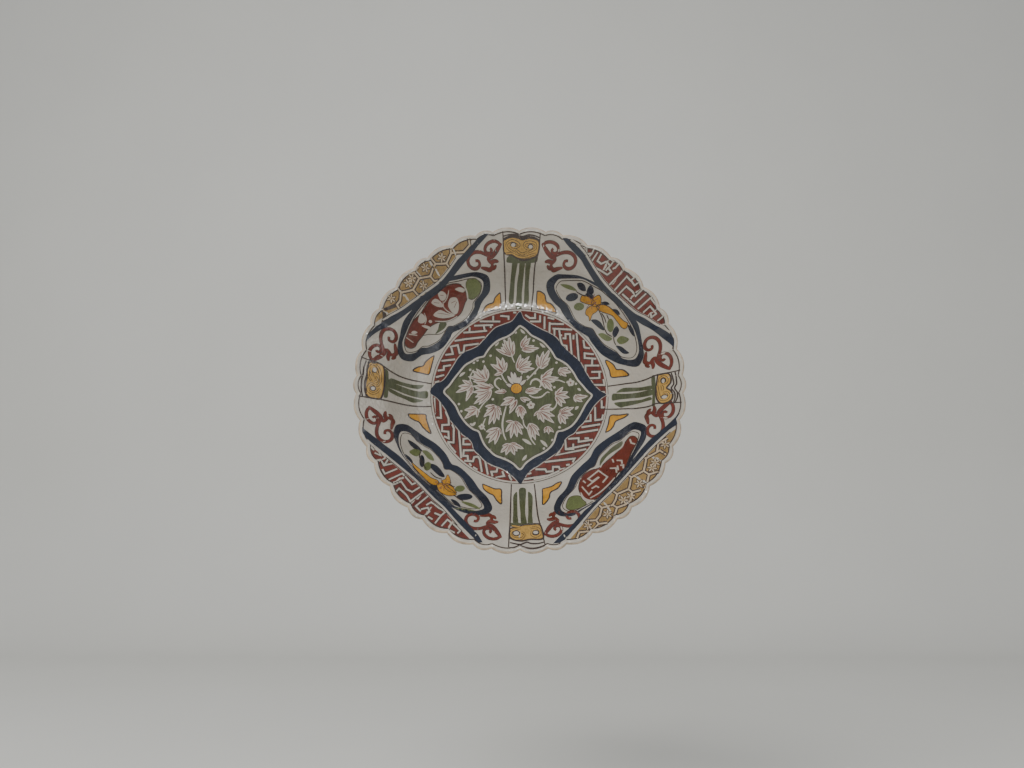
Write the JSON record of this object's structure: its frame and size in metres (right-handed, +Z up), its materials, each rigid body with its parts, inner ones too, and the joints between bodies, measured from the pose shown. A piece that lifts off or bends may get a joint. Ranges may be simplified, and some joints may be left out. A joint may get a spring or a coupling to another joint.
{
  "type": "hand painted ceramic wall plate",
  "caption": "Deep round wall plate with a scalloped rim and foot ring, painted and glazed, on a hinged wire hanging loop.",
  "frame": {"origin": "centre of the foot ring's flat standing face, which lies on the wall", "axes": "+Y out of the back of the plate, into the wall; the painted face looks along -Y; +Z up as the plate hangs; +X to the right of a viewer who faces the painted side"},
  "size_m": [0.26, 0.06, 0.2592],
  "materials": {
    "glazed_ceramic": "glossy, hand painted",
    "steel_wire": "dull galvanised"
  },
  "bodies": {
    "plate": {"plate": "glazed_ceramic"},
    "wire": {"hanging_wire": "steel_wire"}
  },
  "joints": [
    {"name": "wire_hinge", "type": "hinge", "parent": "plate", "child": "wire", "pos_m": [0, -0.004, 0.045], "axis": [1, 0, 0], "range_deg": [-153, 0]}
  ]
}
